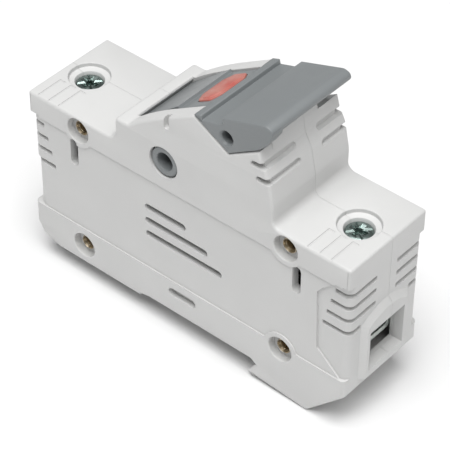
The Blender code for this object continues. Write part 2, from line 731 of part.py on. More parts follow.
def cap(name, side, metal):
    """A cup over one end of the ceramic."""
    reach = span(side * (FUSE_HALF - CAP_LENGTH), side * FUSE_HALF)
    inside = span(side * (FUSE_HALF - CAP_LENGTH - 1), side * (FUSE_HALF - 0.6))
    shell = in_fuse_frame(rod(FUSE_R, "X", *reach, (0, 0)))
    bore = in_fuse_frame(rod(CAP_BORE_R, "X", *inside, (0, 0)))
    return part(name, shell, metal, cut=[bore])


def element_outline():
    """Silver strip with three necks that melt."""
    outline = [(-24.2, -2.0)]
    for neck in (-9.0, 0.0, 9.0):
        outline += [(neck - 1.0, -2.0), (neck, -0.8), (neck + 1.0, -2.0)]
    outline.append((24.2, -2.0))
    return outline + [(-u, -v) for u, v in outline]


def cartridge(ceramic, cap_metal, silver):
    tube = in_fuse_frame(rod(CERAMIC_R, "X", -24.6, 24.6, (0, 0)))
    bore = in_fuse_frame(rod(CERAMIC_BORE_R, "X", -26, 26, (0, 0), 24))
    body = part("fuse_tube", tube, ceramic, cut=[bore])
    strip = in_fuse_frame(slab([element_outline()], "Z", -0.15, 0.15))
    element = part("fuse_element", strip, silver)
    caps = [cap("fuse_cap_left", -1, cap_metal), cap("fuse_cap_right", 1, cap_metal)]
    return [body, element, *caps]


# ---- contacts ----------------------------------------------------------------------------------


def jaw(side, along, inner, outer, reach):
    """A U round the fuse, in its frame; the left one opens downwards, the right one upwards."""
    left_leg = [(-outer, reach), (-outer, -outer), (outer, -outer), (outer, reach)]
    outline = left_leg + [(inner, reach), (inner, -inner), (-inner, -inner), (-inner, reach)]
    return in_fuse_frame(slab([mirrored(outline, 1, side)], "X", *span(side * along[0], side * along[1])))


def contact(side, copper):
    """U-shaped jaw round a fuse cap, with a tail down to the terminal bar, all in one strip."""
    grip = jaw(side, (JAW_START, JAW_END), JAW_INNER, JAW_OUTER, JAW_REACH)
    along, square = span(side * (JAW_END - 1), side * 26.9), span(-side * 7.6, -side * 8.6)
    link = in_fuse_frame(box((along[0], -BAR_HALF, square[0]), (along[1], BAR_HALF, square[1])))
    if side > 0:
        inner, outer, top = TAIL_X[0], TAIL_X[1], 38.5
    else:
        inner, outer = (2 * FUSE_AT[0] - x for x in TAIL_X)
        top = 36.9
    bar_end = side * BAR_END
    tail = [(inner, BAR_BOTTOM), (bar_end, BAR_BOTTOM), (bar_end, BAR_TOP), (outer, BAR_TOP)]
    tail += [(outer, top), (inner, top)]
    bar = slab([tail], "Y", -BAR_HALF + 0.3, BAR_HALF - 0.3)
    name = "contact_right" if side > 0 else "contact_left"
    return part(name, grip, copper, joined=[link, bar])


def jaw_spring(side, steel):
    """Steel clip outside a jaw that squeezes it on the cap."""
    name = "jaw_spring_right" if side > 0 else "jaw_spring_left"
    return part(name, jaw(side, (19.0, 24.0), CLIP_INNER, CLIP_OUTER, 2.0), steel)


def cage(side, zinc):
    """Wire clamp: a square loop round the terminal bar, threaded for the screw."""
    half, window = CAGE_HALF_Y, WINDOW_HALF
    low = [(-half, CAGE_BOTTOM, 2), (half, CAGE_BOTTOM, 2)]
    outer = rounded(low + [(half, CAGE_TOP, 1), (-half, CAGE_TOP, 1)], 4)
    low = [(-window, WINDOW_BOTTOM, 1), (window, WINDOW_BOTTOM, 1)]
    inner = rounded(low + [(window, WINDOW_TOP, 0), (-window, WINDOW_TOP, 0)], 4)
    reach = span(SCREW_AT[side] - side * CAGE_REACH, side * CAGE_END)
    loop = slab([outer, inner], "X", *reach)
    thread = rod(SCREW_R + 0.1, "Z", WINDOW_TOP - 1, CAGE_TOP + 1, (SCREW_AT[side], 0))
    name = "clamp_cage_right" if side > 0 else "clamp_cage_left"
    return part(name, loop, zinc, cut=[thread])


def terminal_screw(side, zinc):
    """Cheese-head screw with a cross recess; it turns in place and raises the cage."""
    at = (SCREW_AT[side], 0)
    shank = rod(SCREW_R, "Z", SCREW_TIP, HEAD_BASE + 0.5, at)
    head = rod(HEAD_R, "Z", HEAD_BASE, HEAD_TOP, at)
    arms = []
    for half_x, half_y in ((2.2, 0.45), (0.45, 2.2)):
        low = (at[0] - half_x, -half_y, HEAD_TOP - 1.6)
        arms.append(box(low, (at[0] + half_x, half_y, HEAD_TOP + 1)))
    name = "terminal_screw_right" if side > 0 else "terminal_screw_left"
    return part(name, shank, zinc, joined=[head], cut=arms)


# ---- rail catch --------------------------------------------------------------------------------


def rail_catch(plastic):
    """Slide with a toe that hooks under the rail's edge and a tab to pull it back."""
    toe = [(-16.5, CATCH_BOTTOM), (-16.5, -3.8), (-12.2, -3.8), (-10.9, -2.6), (-10.9, -1.35)]
    toe += [(-13.9, -1.35), (-13.9, CATCH_STEP)]
    side_view = [(CATCH_TAB_END, CATCH_STEP), (CATCH_TAB_END, CATCH_BOTTOM), *toe]
    stem = slab([side_view], "Y", -CATCH_STEM, CATCH_STEM)
    rib_low = (RIB_SPAN[0], -CATCH_RIB, CATCH_STEP - 0.2)
    rib = box(rib_low, (RIB_SPAN[1], CATCH_RIB, CATCH_TOP))
    window = box((CATCH_WINDOW[0], -1.5, -4), (CATCH_WINDOW[1], 1.5, 4))
    slot = slab([stadium((-50.6, -2.0), (-50.6, 2.0), 2.2)], "Z", -4, 4)
    return part("rail_catch", stem, plastic, joined=[rib], cut=[window, slot])


def catch_spring(steel):
    start, end = CATCH_PEG[1] + CLEAR + COIL_WIRE, CATCH_WINDOW[1] - CLEAR - COIL_WIRE
    return part("catch_spring", coil(COIL_R, COIL_WIRE, COIL_TURNS, start, end, (0, 0.6)), steel)


# ---- assembly ----------------------------------------------------------------------------------


def build():
    light_grey = material("light_grey_plastic", (0.72, 0.73, 0.73), 0.5)
    dark_grey = material("dark_grey_plastic", (0.23, 0.25, 0.26), 0.5)
    red = material("red_lens", (0.70, 0.20, 0.17), 0.3)
    ceramic = material("white_ceramic", (0.85, 0.84, 0.80), 0.4)
    silver = material("silver_plate", (0.80, 0.80, 0.78), 0.3, 1.0)
    zinc = material("zinc_plate", (0.62, 0.66, 0.62), 0.35, 1.0)
    steel = material("spring_steel", (0.55, 0.56, 0.58), 0.35, 1.0)
    brass = material("brass", (0.75, 0.58, 0.30), 0.35, 1.0)
    green = material("circuit_board", (0.06, 0.30, 0.14), 0.5)
    glass = material("lamp_glass", (0.85, 0.60, 0.50), 0.15)

    housing("housing_near", -1, light_grey)
    housing("housing_far", 1, light_grey)
    for name, at in RIVETS.items():
        rivet(name, at, brass)
    swing = [carrier(dark_grey), *indicator(red, green, glass), *cartridge(ceramic, silver, silver)]
    hang(swing, joint_empty("carrier_hinge", (PIVOT[0], 0, PIVOT[1])))
    for side in (-1, 1):
        contact(side, silver)
        jaw_spring(side, steel)
        label = "right" if side > 0 else "left"
        axis_at = (SCREW_AT[side], 0, HEAD_BASE)
        hang([cage(side, zinc)], joint_empty(f"clamp_slide_{label}", axis_at))
        hang([terminal_screw(side, zinc)], joint_empty(f"screw_turn_{label}", axis_at))
    hang([rail_catch(dark_grey)], joint_empty("catch_slide", (RIB_SPAN[0], 0, CATCH_STEP)))
    catch_spring(steel)


clear_scene()
PARTS = new_collection("fuse_holder")
CUTTERS = new_collection("cutters")
build()
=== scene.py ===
"""Looks of the fuse holder: finer shells, carrier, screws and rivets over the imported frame.

Named sizes are in millimetres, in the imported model's frame; the shape helpers turn them into metres.
"""

import math

import bmesh
import bpy
from mathutils import Matrix, Vector


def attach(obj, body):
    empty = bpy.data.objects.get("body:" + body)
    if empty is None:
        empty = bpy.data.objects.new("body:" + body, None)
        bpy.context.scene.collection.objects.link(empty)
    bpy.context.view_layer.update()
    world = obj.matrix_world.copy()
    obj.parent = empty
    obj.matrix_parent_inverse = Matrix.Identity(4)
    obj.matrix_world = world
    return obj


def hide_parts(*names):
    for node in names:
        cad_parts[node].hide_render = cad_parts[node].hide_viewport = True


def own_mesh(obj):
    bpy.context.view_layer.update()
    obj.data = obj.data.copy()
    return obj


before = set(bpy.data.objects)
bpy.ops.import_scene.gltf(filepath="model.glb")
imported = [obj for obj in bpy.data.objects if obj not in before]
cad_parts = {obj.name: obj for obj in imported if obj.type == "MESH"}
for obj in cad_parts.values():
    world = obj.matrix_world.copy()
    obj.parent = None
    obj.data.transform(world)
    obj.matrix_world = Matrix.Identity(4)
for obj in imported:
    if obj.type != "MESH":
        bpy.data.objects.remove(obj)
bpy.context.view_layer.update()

MM = 0.001

# Body
HALF_LENGTH = 47.5
HALF_WIDTH = 13.5
STEP_TOP = 43.25  # top of the low terminal ends
BLOCK_TOP = 49.65  # top of the block left of the carrier
OVERHANG = 37.6  # the body's corners are square above this height and round below it
LEDGE = 9.8  # the foot starts below this height
SEAM = 36.8  # the side faces' sunk middle zone reaches from the ledge up to here
ZONE_DEPTH = 0.35
PANEL_DEPTH = 0.8  # the grooved panel at the zone's right end is sunk further
CORNER = 1.8  # plan radius of the upright corners at the right end
LEFT_CORNER, RIBS_CORNER, RIBS_FROM = 4.2, 3.0, 23.2  # at the left end, below and along the grooves
FOOT_CORNER = 1.3
CEILING = STEP_TOP - 1.6
SIDE_INNER = HALF_WIDTH - 2.6  # half width of the inner space
CREST_INNER = HALF_WIDTH - 4.2  # the same between the walls beside the carrier
END_INNER = HALF_LENGTH - 2.2
FLOOR = 4.2
PARTING = 1.2  # where the two shells meet
JOINT_GAP = 0.01  # each shell stands back this far from the parting plane
RIM = 0.7  # radius of the rim round each side face

# The notch in each side wall that the lever plate's ends fill
NOTCH = [(3.4, 62.5), (13.35, 56.9), (16.1, 58.65), (21.9, 62.2)]

# Carrier
PIVOT = (-5.43, 44.38)
HUB_R = 3.9
HUB_HOLE_R = 4.15
HUB_BORE_R = 2.3
HUB_END = 13.1
RISER_GROOVE = 1.6  # width of the grooves under the lever
VENT = 1.9  # width of the slots below the carrier
POCKET_R = 12.05
CARRIER_R = 11.6
CARRIER_HALF = 8.95
CHEEK_INNER = 7.6
LEVER_HALF = 13.4
LENS_AT = (-0.1, 59.95)
LENS_TILT = math.radians(30.5)
FUSE_AT = (-4.7, 36.6)
TILT = math.radians(18.5)
BARREL_R = 8.9
BARREL_BORE_R = 7.45
BARREL_START, BARREL_END = -8.5, 9.5

# Terminals, rivets and rail catch
SCREW_AT = {-1: -40.6, 1: 39.4}
SCREW_R = 2.5
SCREW_TIP = 21.5
HEAD_R = 3.35
HEAD_TOP, HEAD_BASE = 41.5, 38.1
BOSS_R, BOSS_BORE_R, BOSS_BASE = 5.4, 3.5, 36.2
COUNTERBORE_R = 5.05
COUNTERBORE_FLOOR = STEP_TOP - 1.0
ENTRY_HALF, ENTRY_BOTTOM, ENTRY_TOP = 5.8, 9.6, 20.4
SURROUND_DEPTH = 1.2
RIVETS = {
    "rivet_upper_left": (-31.94, 39.38),
    "rivet_upper_right": (29.8, 39.38),
    "rivet_lower_left": (-31.55, 4.4),
    "rivet_lower_right": (29.1, 8.5),
}
RIVET_R = 1.5
RIVET_BORE_R = 1.25
RIVET_HEAD_R = 1.95
SINK_R, SINK = 3.3, 2.1
CATCH_STEM, CATCH_RIB = 4.8, 6.1
CATCH_STEP, CATCH_TOP = 0.5, 1.8
RIB_SLOT = (-44.2, -15.0)
CATCH_PEG = (-37.0, -35.2)
SPRING_SEAT = -23.0  # the catch's face that the spring presses on
COIL_R, COIL_WIRE, COIL_TURNS, COIL_AT = 1.0, 0.22, 7, (0.0, 0.6)
CLEAR = 0.3

ROUND = 48


# ---- outlines ----------------------------------------------------------------------------------


def arc(centre, radius, start, end, steps):
    """Points on a circle, between two angles in degrees."""
    points = []
    for step in range(steps + 1):
        angle = math.radians(start + (end - start) * step / steps)
        points.append((centre[0] + radius * math.cos(angle), centre[1] + radius * math.sin(angle)))
    return points


def rounded(corners, steps=6):
    """The outline through (u, v, radius) corners, with each corner that has a radius rounded."""
    outline = []
    for index, (u, v, radius) in enumerate(corners):
        here = Vector((u, v))
        if radius == 0:
            outline.append((u, v))
            continue
        back = (Vector(corners[index - 1][:2]) - here).normalized()
        ahead = (Vector(corners[(index + 1) % len(corners)][:2]) - here).normalized()
        half = back.angle(ahead) / 2
        centre = here + (back + ahead).normalized() * (radius / math.sin(half))
        first = here + back * (radius / math.tan(half)) - centre
        last = here + ahead * (radius / math.tan(half)) - centre
        turn = first.angle_signed(last)
        for step in range(steps + 1):
            point = centre + Matrix.Rotation(-turn * step / steps, 2) @ first
            outline.append((point.x, point.y))
    return outline


def stadium(start, end, width, steps=8):
    """A slot with round ends, between the centres of its two ends."""
    along = math.degrees(math.atan2(end[1] - start[1], end[0] - start[0]))
    far = arc(end, width / 2, along - 90, along + 90, steps)
    return far + arc(start, width / 2, along + 90, along + 270, steps)


def span(a, b):
    """Two coordinates in rising order."""
    return min(a, b), max(a, b)


def mirrored(outline, sign_u=1, sign_v=1):
    return [(sign_u * u, sign_v * v) for u, v in outline]


# ---- meshes ------------------------------------------------------------------------------------

FRAMES = {
    "X": Matrix(((0, 0, 1), (1, 0, 0), (0, 1, 0))),
    "Y": Matrix(((1, 0, 0), (0, 0, -1), (0, 1, 0))),
    "Z": Matrix.Identity(3),
}


def frame_at(across, middle):
    place = Vector([middle * MM if axis == across else 0.0 for axis in "XYZ"])
    return Matrix.Translation(place) @ FRAMES[across].to_4x4()


def evaluated_mesh(made):
    graph = bpy.context.evaluated_depsgraph_get()
    return bpy.data.meshes.new_from_object(made.evaluated_get(graph))


def slab(outlines, across, start, end, rim=0.0):
    """Flat outlines, the first solid and the others holes, extruded, with a round rim at both ends."""
    curve = bpy.data.curves.new("outline", "CURVE")
    curve.dimensions = "2D"
    curve.fill_mode = "BOTH"
    curve.extrude = ((end - start) / 2 - rim) * MM
    curve.bevel_depth = rim * MM
    curve.bevel_resolution = 2
    curve.offset = -rim * MM
    for outline in outlines:
        spline = curve.splines.new("POLY")
        spline.points.add(len(outline) - 1)
        for point, (u, v) in zip(spline.points, outline):
            point.co = (u * MM, v * MM, 0, 1)
        spline.use_cyclic_u = True
    guide = bpy.data.objects.new("outline", curve)
    bpy.context.scene.collection.objects.link(guide)
    mesh = evaluated_mesh(guide)
    bpy.data.objects.remove(guide)
    bpy.data.curves.remove(curve)
    mesh.transform(frame_at(across, (start + end) / 2))
    return weld(mesh)


def weld(mesh):
    work = bmesh.new()
    work.from_mesh(mesh)
    bmesh.ops.remove_doubles(work, verts=work.verts, dist=1e-7)
    bmesh.ops.recalc_face_normals(work, faces=work.faces)
    work.to_mesh(mesh)
    work.free()
    return mesh


def box(low, high):
    size = [b - a for a, b in zip(low, high)]
    middle = [(a + b) / 2 for a, b in zip(low, high)]
    mesh = bpy.data.meshes.new("box")
    work = bmesh.new()
    bmesh.ops.create_cube(work, size=MM)
    bmesh.ops.scale(work, vec=size, verts=work.verts)
    bmesh.ops.translate(work, vec=Vector(middle) * MM, verts=work.verts)
    work.to_mesh(mesh)
    work.free()
    return mesh


def turned(profile, axis, at, sides=ROUND):
    """A solid of revolution from (radius, distance) points along an axis; at is its centre."""
    work = bmesh.new()
    rings = []
    for radius, along in profile:
        ring = []
        for index in range(sides):
            angle = 2 * math.pi * index / sides
            co = (radius * math.cos(angle), radius * math.sin(angle), along)
            ring.append(work.verts.new(Vector(co) * MM))
        rings.append(ring)
    for first, second in zip(rings, rings[1:]):
        for index in range(sides):
            following = (index + 1) % sides
            work.faces.new((first[index], first[following], second[following], second[index]))
    work.faces.new(rings[0][::-1])
    work.faces.new(rings[-1])
    mesh = bpy.data.meshes.new("turned")
    bmesh.ops.recalc_face_normals(work, faces=work.faces)
    work.to_mesh(mesh)
    work.free()
    turn = {
        "X": Matrix.Rotation(math.pi / 2, 4, "Y"),
        "Y": Matrix.Rotation(-math.pi / 2, 4, "X"),
        "Z": Matrix.Identity(4),
    }[axis]
    place = {"X": (0, *at), "Y": (at[0], 0, at[1]), "Z": (*at, 0)}[axis]
    mesh.transform(Matrix.Translation(Vector(place) * MM) @ turn)
    return mesh


def rod(radius, axis, start, end, at, sides=ROUND):
    return turned([(radius, start), (radius, end)], axis, at, sides)


def placed(mesh, at, tilt):
    """Tips a mesh made about the origin up towards +X, and moves it to (x, z)."""
    turn = Matrix.Rotation(-tilt, 4, "Y")
    mesh.transform(Matrix.Translation(Vector((at[0], 0, at[1])) * MM) @ turn)
    return mesh


def carve(base, steps):
    """The base mesh after each (operation, meshes) step."""
    made = bpy.data.objects.new("carved", base)
    bpy.context.scene.collection.objects.link(made)
    helpers = []
    for operation, meshes in steps:
        for mesh in meshes:
            helper = bpy.data.objects.new("helper", mesh)
            bpy.context.scene.collection.objects.link(helper)
            helpers.append(helper)
            modifier = made.modifiers.new("cut", "BOOLEAN")
            modifier.operation = operation
            modifier.object = helper
            modifier.solver = "MANIFOLD"
    result = evaluated_mesh(made)
    for helper in [made, *helpers]:
        bpy.data.objects.remove(helper)
    return result


def piece(name, mesh, body, finish, nodes=(), angle=32):
    """A named visible piece that moves with a body and may stand for CAD nodes."""
    made = bpy.data.objects.new(name, mesh)
    bpy.context.scene.collection.objects.link(made)
    mesh.name = name
    mesh.materials.clear()
    mesh.materials.append(finish)
    mesh.shade_smooth()
    mesh.set_sharp_from_angle(angle=math.radians(angle))
    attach(made, body)
    if nodes:
        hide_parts(*nodes)
    return made


# ---- materials ---------------------------------------------------------------------------------


class Finish:
    """A material with a Principled shader, and short calls to build its nodes."""

    def __init__(self, name, colour, roughness, metallic=0.0, **sockets):
        self.material = bpy.data.materials.new(name)
        self.material.use_nodes = True
        self.nodes = self.material.node_tree.nodes
        self.links = self.material.node_tree.links
        self.shader = self.nodes["Principled BSDF"]
        self.colour = (*colour, 1.0)
        self.set("Base Color", self.colour)
        self.set("Roughness", roughness)
        self.set("Metallic", metallic)
        for socket, value in sockets.items():
            self.set(socket.replace("_", " "), value)
        self.place = self.nodes.new("ShaderNodeTexCoord").outputs["Object"]

    def set(self, socket, value):
        self.shader.inputs[socket].default_value = value

    def noise(self, scale, detail=2.0, stretch=None):
        made = self.nodes.new("ShaderNodeTexNoise")
        made.inputs["Scale"].default_value = scale
        made.inputs["Detail"].default_value = detail
        place = self.place
        if stretch:
            mapping = self.nodes.new("ShaderNodeMapping")
            mapping.inputs["Scale"].default_value = stretch
            self.links.new(place, mapping.inputs["Vector"])
            place = mapping.outputs["Vector"]
        self.links.new(place, made.inputs["Vector"])
        return made.outputs["Fac"]

    def spread(self, value, low, high):
        """Maps a noise's middle range to low..high."""
        made = self.nodes.new("ShaderNodeMapRange")
        made.inputs["From Min"].default_value = 0.3
        made.inputs["From Max"].default_value = 0.7
        made.inputs["To Min"].default_value = low
        made.inputs["To Max"].default_value = high
        self.links.new(value, made.inputs["Value"])
        return made.outputs["Result"]

    def vary_colour(self, factor, darker):
        """Mixes the base colour with a darker tint of it."""
        mix = self.nodes.new("ShaderNodeMix")
        mix.data_type = "RGBA"
        mix.inputs["A"].default_value = tuple(c * darker for c in self.colour[:3]) + (1.0,)
        mix.inputs["B"].default_value = self.colour
        self.links.new(factor, mix.inputs["Factor"])
        self.links.new(mix.outputs["Result"], self.shader.inputs["Base Color"])

    def vary_roughness(self, value):
        self.links.new(value, self.shader.inputs["Roughness"])

    def bump(self, height, distance, strength=1.0, edge=0.0):
        """Surface relief in metres, over edges softened by a radius in millimetres."""
        made = self.nodes.new("ShaderNodeBump")
        made.inputs["Distance"].default_value = distance
        made.inputs["Strength"].default_value = strength
        self.links.new(height, made.inputs["Height"])
        if edge:
            soft = self.nodes.new("ShaderNodeBevel")
            soft.samples = 6
            soft.inputs["Radius"].default_value = edge * MM
            self.links.new(soft.outputs["Normal"], made.inputs["Normal"])
        self.links.new(made.outputs["Normal"], self.shader.inputs["Normal"])


def moulded(name, colour, roughness, grain, edge, **sockets):
    """Injection-moulded plastic: fine spark-eroded texture, faint cloudiness and soft edges."""
    made = Finish(name, colour, roughness, **sockets)
    made.vary_colour(made.spread(made.noise(60, 3), 0, 1), 0.965)
    made.vary_roughness(made.spread(made.noise(180, 2), roughness - 0.04, roughness + 0.05))
    made.bump(made.noise(4200, 3), grain, 0.6, edge)
    return made.material


def lens_plastic():
    """Cloudy red plastic, paler and deeper red in random patches."""
    made = Finish("red_lens", (0.50, 0.21, 0.17), 0.5)
    clouds = made.spread(made.noise(260, 3), 0, 1)
    mix = made.nodes.new("ShaderNodeMix")
    mix.data_type = "RGBA"
    mix.inputs["A"].default_value = (0.46, 0.11, 0.09, 1.0)
    mix.inputs["B"].default_value = made.colour
    made.links.new(clouds, mix.inputs["Factor"])
    made.links.new(mix.outputs["Result"], made.shader.inputs["Base Color"])
    made.bump(made.noise(700, 3), 0.00008, 0.7, 0.25)
    return made.material


def plated(name, colour, roughness, stretch=None, scale=900, depth=0.000004, edge=0.12):
    """Plated metal: fine drawn or tumbled marks and patchy gloss."""
    made = Finish(name, colour, roughness, 1.0)
    made.vary_colour(made.spread(made.noise(500, 3), 0, 1), 0.86)
    made.vary_roughness(made.spread(made.noise(350, 2), roughness - 0.07, roughness + 0.1))
    made.bump(made.noise(scale, 3, stretch), depth, 0.8, edge)
    return made.material


LIGHT_GREY = moulded("light_grey_moulding", (0.61, 0.61, 0.603), 0.42, 0.000006, 0.25)
DARK_GREY = moulded("dark_grey_moulding", (0.208, 0.222, 0.227), 0.40, 0.000012, 0.2)
LENS_RED = lens_plastic()
CERAMIC = moulded("white_ceramic", (0.82, 0.80, 0.75), 0.3, 0.00001, 0.2, Coat_Weight=0.5)
ZINC = plated("zinc_plate", (0.78, 0.83, 0.79), 0.38)
SCREW_ZINC = plated("zinc_plate_dark", (0.30, 0.37, 0.35), 0.26)
BRASS = plated("brass_tube", (0.50, 0.43, 0.32), 0.3, depth=0.000001)
SILVER = plated("silver_plate", (0.80, 0.79, 0.76), 0.24, (1, 12, 1))
STEEL = plated("spring_steel", (0.50, 0.51, 0.53), 0.30, (1, 14, 1))
BOARD = moulded("circuit_board", (0.04, 0.24, 0.10), 0.35, 0.00001, 0.1, Coat_Weight=0.4)
GLASS = moulded("lamp_glass", (0.85, 0.55, 0.42), 0.1, 0.000002, 0.1, Transmission_Weight=0.6)


# ---- housing -----------------------------------------------------------------------------------


def housing_outline():
    """The body from the side, counterclockwise from the rail seat's left end."""
    seat_left = [(-10.4, 0, 0), (-13.6, -0.5, 0), (-13.6, -1.07, 0)]
    foot_left = [(-39.9, -1.07, 2), (-45.2, 0.6, 2), (-47.4, 4.2, 2), (-HALF_LENGTH, LEDGE, 0)]
    left_end = [(-HALF_LENGTH, STEP_TOP, 0.6), (-20.05, STEP_TOP, 2.4), (-20.05, BLOCK_TOP, 1.0)]
    crest = [(-15.9, BLOCK_TOP, 1.5), (-13.4, 51.7, 3), (-10.7, 53.7, 6), (-6.2, 56.7, 12)]
    crest += [(-1.8, 59.35, 20)] + [(x, z, 0) for x, z in NOTCH]
    front = [(22.8, 59.1, 3), (24.6, 55.6, 5), (25.95, 49.0, 8), (25.95, STEP_TOP, 1.9)]
    right_end = [(HALF_LENGTH, STEP_TOP, 0.6), (HALF_LENGTH, 5.0, 1)]
    hook = [(37.2, -5.7, 1), (19.4, -4.7, 0.6), (22.1, -1.05, 0), (20.6, 0, 0)]
    return rounded(seat_left + foot_left + left_end + crest + front + right_end + hook)


def rise_outline():
    """The wall right of the carrier stands higher between the side walls, up to the lever."""
    inner = [(24.7, 45.0), (24.4, 50.0), (22.8, 55.6), (21.3, 60.0), (20.5, 64.3)]
    outer = [(21.7, 64.3), (22.2, 62.0), (22.6, 59.0), (24.2, 55.4), (25.3, 50.0), (25.3, 45.0)]
    return inner + outer


RIGHT_SPACE = [(24.4, 26.0), (26.0, 26.0), (26.0, CEILING), (END_INNER, CEILING)]
RIGHT_SPACE += [(END_INNER, 6.2), (END_INNER - 0.6, 5.5), (26.0, 5.7), (24.0, FLOOR)]
LEFT_SPACE = [(-END_INNER + 1.2, FLOOR), (-END_INNER, 5.6), (-END_INNER, CEILING)]


def upper_space_outline():
    """The narrower space between the walls beside the carrier, open at the top."""
    pocket = arc(PIVOT, POCKET_R, 193, 157, 14)
    top = [(-16.7, 49.5), (-17.1, BLOCK_TOP + 0.1), (-17.1, 70.0), (20.9, 70.0), (20.9, 60.0)]
    wall = [(22.4, 55.6), (24.0, 50.0), (24.4, 44.0), (24.0, 30.0)]
    return pocket + top + wall + [(-17.0, 30.0)]


def lower_space_outline():
    """The wider space below, which stops under the hinge and rises again beside the right jaw."""
    under_walls = [(-20.0, CEILING), (-14.0, 38.0), (3.0, 38.0), (8.0, 50.0), (22.0, 50.0)]
    return [(23.9, 44.0)] + RIGHT_SPACE + LEFT_SPACE + under_walls


def corner_cutter(side_x, side_y, radius, half_width, bottom, top):
    """What has to go to round one upright corner of the body."""
    centre = (HALF_LENGTH - radius, half_width - radius)
    outside = [(centre[0], HALF_WIDTH + 1), (HALF_LENGTH + 1, HALF_WIDTH + 1)]
    outside.append((HALF_LENGTH + 1, centre[1]))
    outline = arc(centre, radius, 0, 90, 10) + outside
    return slab([mirrored(outline, side_x, side_y)], "Z", bottom, top)


def end_grooves(side_x, side_y):
    """Four shallow grooves that wrap round an upright corner."""
    depth, height = 1.3, 1.3
    sunk, bend = (PANEL_DEPTH, 1.0) if side_x > 0 else (ZONE_DEPTH, 2.0)
    inner_x, inner_y = HALF_LENGTH - depth, HALF_WIDTH - sunk - depth
    cutters = []
    places = ((34.9, 43.2, 3.6), (31.2, 42.1, 3.6), (27.5, 41.1, 3.6), (23.8, 40.1, 8.6))
    for z, side_end, face_end in places:
        inside = [(inner_x, face_end), *arc((inner_x - bend, inner_y - bend), bend, 0, 90, 8)]
        inside.append((side_end, inner_y))
        outside = [(side_end, HALF_WIDTH + 1), (HALF_LENGTH + 1, HALF_WIDTH + 1)]
        outside.append((HALF_LENGTH + 1, face_end))
        outline = mirrored(inside + outside, side_x, side_y)
        cutters.append(slab([outline], "Z", z - height / 2, z + height / 2, 0.3))
    return cutters


def riser_grooves(side):
    """Two slanted grooves that wrap from each side wall to the front under the lever."""
    cutters = []
    for x, z in ((22.9, 58.45), (24.45, 54.9)):
        outline = stadium((x - 2.4, z - 0.2), (x + 3, z + 0.1), RISER_GROOVE)
        cutters.append(slab([outline], "Y", *span(side * (HALF_WIDTH - 1.5), side * (HALF_WIDTH + 1))))
        inner_end = 3.4 if side < 0 else 5.4
        front = stadium((side * inner_end, z), (side * (HALF_WIDTH + 2), z), RISER_GROOVE)
        cutters.append(slab([front], "X", x - 0.5, x + 4, 0.2))
    return cutters


def vent_slots(side):
    """Slots through a side wall, three below the carrier and two upright, and a pocket in the foot."""
    slots = [((-10.7, 28.1), (-0.2, 28.1), VENT), ((-10.7, 24.1), (6.3, 24.1), VENT)]
    slots += [((-10.5, 20.1), (10.6, 20.1), VENT)]
    slots += [((-33.6, 34.9), (-33.6, 29.3), 2.4), ((32.9, 34.6), (32.9, 29.3), 2.4)]
    outside = side * (HALF_WIDTH + 1)
    through = [slab([stadium(*slot)], "Y", *span(side * (SIDE_INNER - 1), outside)) for slot in slots]
    pocket = stadium((-3.2, 6.3), (2.7, 6.3), 2.4)
    return [*through, slab([pocket], "Y", *span(side * (HALF_WIDTH - 1.5), outside))]


def finger_gap():
    """The far shell is lower under the lever's lip, to let a finger in."""
    return box((19.0, 6.0, 62.35), (26.5, HALF_WIDTH + 1, 66.0))


def label_grooves():
    """Fine lines across each step top that mark out three label strips."""
    cutters = []
    inner_end = 5.4
    for x in (-44.8, -41.5, -38.4, 35.3, 38.6, 41.8):
        line = [(x, -14.0), (x + 0.35, -14.0), (x + 0.35, -inner_end - 0.35)]
        tick = [(x + 1.7, -inner_end - 0.35), (x + 1.7, -inner_end), (x, -inner_end)]
        cutters.append(slab([line + tick], "Z", STEP_TOP - 0.12, STEP_TOP + 1))
    return cutters


def zone_outline():
    """The side face between the foot's ledge and the seam, which bulge round three of the rivets."""
    end = HALF_LENGTH + 1
    low_bulge = arc(RIVETS["rivet_lower_right"], 4.7, 164, 16, 12)
    right_bulge = arc(RIVETS["rivet_upper_right"], 4.6, -34, -146, 12)
    left_bulge = arc(RIVETS["rivet_upper_left"], 4.6, -34, -146, 12)
    low_line = [(-end, LEDGE), *low_bulge, (end, LEDGE)]
    return low_line + [(end, SEAM), *right_bulge, *left_bulge, (-end, SEAM)]


def panel_face_outline():
    """The grooved panel at the right end of a side face."""
    end = HALF_LENGTH + 1
    rise = [(45.7, LEDGE), (42.6, 12.5), (39.2, 15.5), (38.6, 31.9), (40.15, 34.0), (42.0, 35.7)]
    return rise + [(43.8, OVERHANG - 0.3), (end, OVERHANG - 0.3), (end, LEDGE)]


def side_recess(side):
    """The middle zone of a side face is sunk a little, and the panel at its right end more."""
    outside = side * (HALF_WIDTH + 1)
    zone = slab([zone_outline()], "Y", *span(side * (HALF_WIDTH - ZONE_DEPTH), outside))
    panel = slab([panel_face_outline()], "Y", *span(side * (HALF_WIDTH - PANEL_DEPTH), outside))
    return [zone, panel]


def crest_notch():
    """Small round-ended notch in the near wall's crest."""
    outline = stadium((-4.35, 60.5), (-4.35, 55.2), 1.5)
    return slab([outline], "Y", -HALF_WIDTH - 1, -HALF_WIDTH + 1.4)


